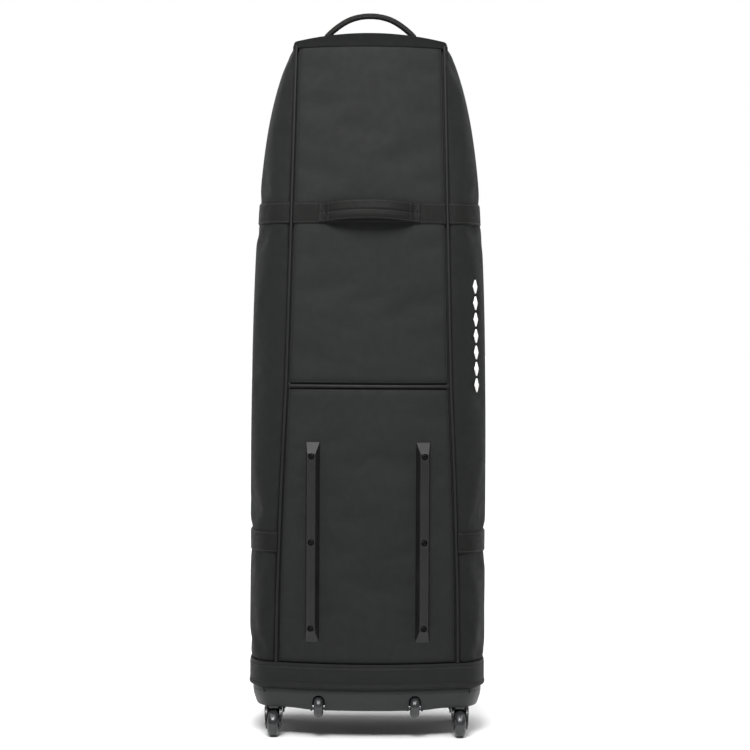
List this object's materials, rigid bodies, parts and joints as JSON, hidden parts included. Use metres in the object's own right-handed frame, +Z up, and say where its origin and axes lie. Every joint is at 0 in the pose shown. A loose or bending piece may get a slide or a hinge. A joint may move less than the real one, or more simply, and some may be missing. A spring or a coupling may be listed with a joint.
{
  "type": "golf travel case",
  "caption": "Upright soft-sided golf travel case with a moulded base, swivel casters, inline wheels, skid rails, piping, webbing, carry handles and a full-length zipped front lid.",
  "frame": {"origin": "on the floor, under the middle of the case's bounding box", "axes": "+Z up, +X to the right when looking at the rail side, +Y towards the opening lid"},
  "size_m": [0.436, 0.3616, 1.3205],
  "materials": {
    "shell_fabric": "matt dark polyester weave over padding",
    "piping_cord": "fabric-covered round cord",
    "webbing": "flat woven webbing, slightly glossy",
    "board": "plain polyethylene sheet",
    "tray_plastic": "fine-grained moulded plastic",
    "rail_plastic": "satin moulded plastic",
    "black_screw": "black coated steel",
    "fork_plastic": "smooth black moulded plastic",
    "tread": "smooth dark grey tread",
    "axle_steel": "bright steel rod",
    "zip_tape": "woven tape with a nylon coil",
    "zip_metal": "gunmetal coating",
    "handle_grip": "webbing sewn round a tube"
  },
  "bodies": {
    "case": {"rear_panel_lower": "shell_fabric", "rear_panel_upper": "shell_fabric", "back_board": "board", "gusset_left": "shell_fabric", "gusset_right": "shell_fabric", "top_cap": "shell_fabric", "base_band": "shell_fabric", "base_tray": "tray_plastic", "floor_board": "board", "piping_left": "piping_cord", "piping_right": "piping_cord", "piping_cross": "piping_cord", "webbing_rear": "webbing", "webbing_upper_left": "webbing", "webbing_upper_right": "webbing", "webbing_lower_left": "webbing", "webbing_lower_right": "webbing", "carry_handle": "webbing", "top_handle": "handle_grip", "skid_rail_left": "rail_plastic", "skid_rail_right": "rail_plastic", "rail_screw_left_1": "black_screw", "rail_screw_left_2": "black_screw", "rail_screw_left_3": "black_screw", "rail_screw_right_1": "black_screw", "rail_screw_right_2": "black_screw", "rail_screw_right_3": "black_screw", "inline_axle_left": "axle_steel", "inline_axle_right": "axle_steel", "zip_tape_case": "zip_tape", "strap_left": "webbing", "strap_right": "webbing", "buckle_socket": "fork_plastic"},
    "lid": {"lid_panel": "shell_fabric", "zip_tape_lid": "zip_tape", "pocket_lower": "shell_fabric", "pocket_upper": "shell_fabric"},
    "caster_rear_left": {"caster_fork_rear_left": "fork_plastic", "caster_axle_rear_left": "axle_steel"},
    "caster_roller_rear_left": {"caster_wheel_rear_left": "tread"},
    "caster_front_left": {"caster_fork_front_left": "fork_plastic", "caster_axle_front_left": "axle_steel"},
    "caster_roller_front_left": {"caster_wheel_front_left": "tread"},
    "caster_rear_right": {"caster_fork_rear_right": "fork_plastic", "caster_axle_rear_right": "axle_steel"},
    "caster_roller_rear_right": {"caster_wheel_rear_right": "tread"},
    "caster_front_right": {"caster_fork_front_right": "fork_plastic", "caster_axle_front_right": "axle_steel"},
    "caster_roller_front_right": {"caster_wheel_front_right": "tread"},
    "inline_roller_left": {"inline_wheel_left": "tread"},
    "inline_roller_right": {"inline_wheel_right": "tread"},
    "zip_left_slider": {"zip_left_slider": "zip_metal"},
    "zip_left_pull": {"zip_left_pull": "zip_metal"},
    "zip_right_slider": {"zip_right_slider": "zip_metal"},
    "zip_right_pull": {"zip_right_pull": "zip_metal"},
    "pocket_lower_slider": {"pocket_lower_slider": "zip_metal"},
    "pocket_lower_pull": {"pocket_lower_pull": "zip_metal"},
    "pocket_upper_slider": {"pocket_upper_slider": "zip_metal"},
    "pocket_upper_pull": {"pocket_upper_pull": "zip_metal"},
    "buckle_plug": {"buckle_plug": "fork_plastic"}
  },
  "joints": [
    {"name": "lid_hinge", "type": "hinge", "parent": "case", "child": "lid", "pos_m": [0, 0.1552, 0.1386], "axis": [-1, 0, 0], "range_deg": [0, 95]},
    {"name": "caster_swivel_rear_left", "type": "hinge", "parent": "case", "child": "caster_rear_left", "pos_m": [-0.171, -0.0873, 0.058], "axis": [0, 0, 1], "continuous": true},
    {"name": "caster_roll_rear_left", "type": "hinge", "parent": "caster_rear_left", "child": "caster_roller_rear_left", "pos_m": [-0.171, -0.1033, 0.024], "axis": [1, 0, 0], "continuous": true},
    {"name": "caster_swivel_front_left", "type": "hinge", "parent": "case", "child": "caster_front_left", "pos_m": [-0.171, 0.0927, 0.058], "axis": [0, 0, 1], "continuous": true},
    {"name": "caster_roll_front_left", "type": "hinge", "parent": "caster_front_left", "child": "caster_roller_front_left", "pos_m": [-0.171, 0.0767, 0.024], "axis": [1, 0, 0], "continuous": true},
    {"name": "caster_swivel_rear_right", "type": "hinge", "parent": "case", "child": "caster_rear_right", "pos_m": [0.171, -0.0873, 0.058], "axis": [0, 0, 1], "continuous": true},
    {"name": "caster_roll_rear_right", "type": "hinge", "parent": "caster_rear_right", "child": "caster_roller_rear_right", "pos_m": [0.171, -0.1033, 0.024], "axis": [1, 0, 0], "continuous": true},
    {"name": "caster_swivel_front_right", "type": "hinge", "parent": "case", "child": "caster_front_right", "pos_m": [0.171, 0.0927, 0.058], "axis": [0, 0, 1], "continuous": true},
    {"name": "caster_roll_front_right", "type": "hinge", "parent": "caster_front_right", "child": "caster_roller_front_right", "pos_m": [0.171, 0.0767, 0.024], "axis": [1, 0, 0], "continuous": true},
    {"name": "inline_roll_left", "type": "hinge", "parent": "case", "child": "inline_roller_left", "pos_m": [-0.0875, -0.1273, 0.059], "axis": [1, 0, 0], "continuous": true},
    {"name": "inline_roll_right", "type": "hinge", "parent": "case", "child": "inline_roller_right", "pos_m": [0.0875, -0.1273, 0.059], "axis": [1, 0, 0], "continuous": true},
    {"name": "zip_left_slide", "type": "slide", "parent": "lid", "child": "zip_left_slider", "axis": [-1, 0, 0], "range_m": [0, 0.105]},
    {"name": "zip_left_pull_swing", "type": "hinge", "parent": "zip_left_slider", "child": "zip_left_pull", "pos_m": [-0.009, 0.12086, 1.23408], "axis": [1, 0, 0], "range_deg": [0, 150]},
    {"name": "zip_right_slide", "type": "slide", "parent": "lid", "child": "zip_right_slider", "axis": [1, 0, 0], "range_m": [0, 0.105]},
    {"name": "zip_right_pull_swing", "type": "hinge", "parent": "zip_right_slider", "child": "zip_right_pull", "pos_m": [0.009, 0.12086, 1.23408], "axis": [1, 0, 0], "range_deg": [0, 150]},
    {"name": "pocket_lower_slide", "type": "slide", "parent": "lid", "child": "pocket_lower_slider", "axis": [1, 0, 0], "range_m": [0, 0.21]},
    {"name": "pocket_lower_pull_swing", "type": "hinge", "parent": "pocket_lower_slider", "child": "pocket_lower_pull", "pos_m": [-0.10648, 0.17748, 0.526], "axis": [1, 0, 0], "range_deg": [0, 150]},
    {"name": "pocket_upper_slide", "type": "slide", "parent": "lid", "child": "pocket_upper_slider", "axis": [1, 0, 0], "range_m": [0, 0.19]},
    {"name": "pocket_upper_pull_swing", "type": "hinge", "parent": "pocket_upper_slider", "child": "pocket_upper_pull", "pos_m": [-0.09636, 0.163, 0.846], "axis": [1, 0, 0], "range_deg": [0, 150]},
    {"name": "buckle_release", "type": "slide", "parent": "case", "child": "buckle_plug", "axis": [1, 0, 0], "range_m": [0, 0.03]}
  ]
}
